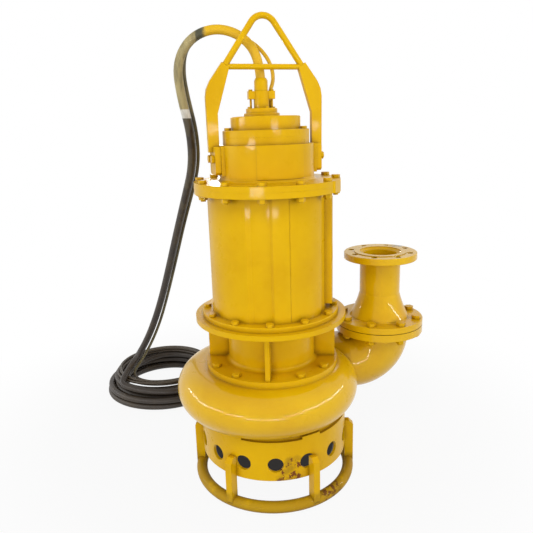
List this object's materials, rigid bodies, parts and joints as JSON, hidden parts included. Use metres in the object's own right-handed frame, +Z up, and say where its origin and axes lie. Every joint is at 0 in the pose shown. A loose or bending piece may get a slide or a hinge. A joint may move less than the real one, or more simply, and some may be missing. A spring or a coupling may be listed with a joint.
{
  "type": "submersible slurry pump",
  "caption": "Vertical submersible slurry pump with bottom strainer, agitator and impeller on a long shaft, side discharge elbow with flanged reducer, lifting bail and coiled supply cable",
  "frame": {"origin": "on the shaft axis, in the plane of the floor that the base ring stands on", "axes": "+Z up along the shaft, +X towards the discharge elbow, -Y the front"},
  "size_m": [1.1286, 1.027, 1.262],
  "materials": {
    "cast_paint": "gloss industrial enamel over cast iron",
    "steel_paint": "gloss industrial enamel over fabricated steel",
    "bolt_paint": "gloss enamel over zinc plated bolts",
    "wear_iron": "as cast high chrome iron",
    "bare_steel": "machined steel",
    "lamination": "stacked electrical sheet, oiled",
    "copper": "varnished copper winding",
    "seal_ring": "lapped silicon carbide",
    "black_rubber": "matt rubber",
    "cable_sheath": "dusty rubber sheath",
    "board": "moulded phenolic board"
  },
  "bodies": {
    "pump_frame": {"back_wear_plate": "wear_iron", "bail_bolts": "bolt_paint", "bail_crossbar": "steel_paint", "bail_legs": "steel_paint", "bail_pads": "steel_paint", "bail_rod": "steel_paint", "base_legs": "steel_paint", "base_ring": "steel_paint", "bearing_bracket": "cast_paint", "bracket_bolts": "bolt_paint", "cable_coil": "cable_sheath", "cable_tail": "cable_sheath", "control_cable": "cable_sheath", "control_gland": "cast_paint", "cover_bolts": "bolt_paint", "cover_ring": "cast_paint", "discharge_bolts": "bolt_paint", "discharge_elbow": "cast_paint", "discharge_gasket": "black_rubber", "discharge_reducer": "cast_paint", "gland_base": "cast_paint", "gland_body": "cast_paint", "gland_bolts": "bolt_paint", "gland_clamp": "cast_paint", "gland_clamp_bolts": "bolt_paint", "gland_grommet": "black_rubber", "head_bolts": "bolt_paint", "lower_bearing_cap": "bare_steel", "lower_bearing_outer_ring": "bare_steel", "motor_bolts": "bolt_paint", "motor_housing": "cast_paint", "oil_plugs": "bolt_paint", "power_cable": "cable_sheath", "seal_cover": "bare_steel", "seal_seat": "seal_ring", "stator_core": "lamination", "stator_windings": "copper", "strainer_skirt": "steel_paint", "suction_cover": "wear_iron", "suction_cover_bolts": "bare_steel", "terminal_board": "board", "terminal_cover": "cast_paint", "upper_bearing_cap": "bare_steel", "upper_bearing_housing": "cast_paint", "upper_bearing_outer_ring": "bare_steel", "volute_casing": "cast_paint"},
    "rotor": {"shaft": "bare_steel", "impeller": "wear_iron", "impeller_key": "bare_steel", "agitator": "wear_iron", "rotor_core": "lamination", "lower_bearing_inner_ring": "bare_steel", "upper_bearing_inner_ring": "bare_steel", "seal_face_ring": "seal_ring", "seal_bellows": "bare_steel", "seal_collar": "bare_steel"},
    "lower_ball_set": {"lower_bearing_balls": "bare_steel", "lower_bearing_cage": "bare_steel"},
    "upper_ball_set": {"upper_bearing_balls": "bare_steel", "upper_bearing_cage": "bare_steel"}
  },
  "joints": [
    {"name": "rotor_spin", "type": "hinge", "parent": "pump_frame", "child": "rotor", "pos_m": [0, 0, 0.5], "axis": [0, 0, 1], "continuous": true},
    {"name": "lower_ball_set_spin", "type": "hinge", "parent": "pump_frame", "child": "lower_ball_set", "pos_m": [0, 0, 0.4665], "axis": [0, 0, 1], "continuous": true},
    {"name": "upper_ball_set_spin", "type": "hinge", "parent": "pump_frame", "child": "upper_ball_set", "pos_m": [0, 0, 0.8635], "axis": [0, 0, 1], "continuous": true}
  ],
  "couplings": [
    {"joint": "lower_ball_set_spin", "follows": "rotor_spin", "ratio": 0.3842},
    {"joint": "upper_ball_set_spin", "follows": "rotor_spin", "ratio": 0.3812}
  ]
}
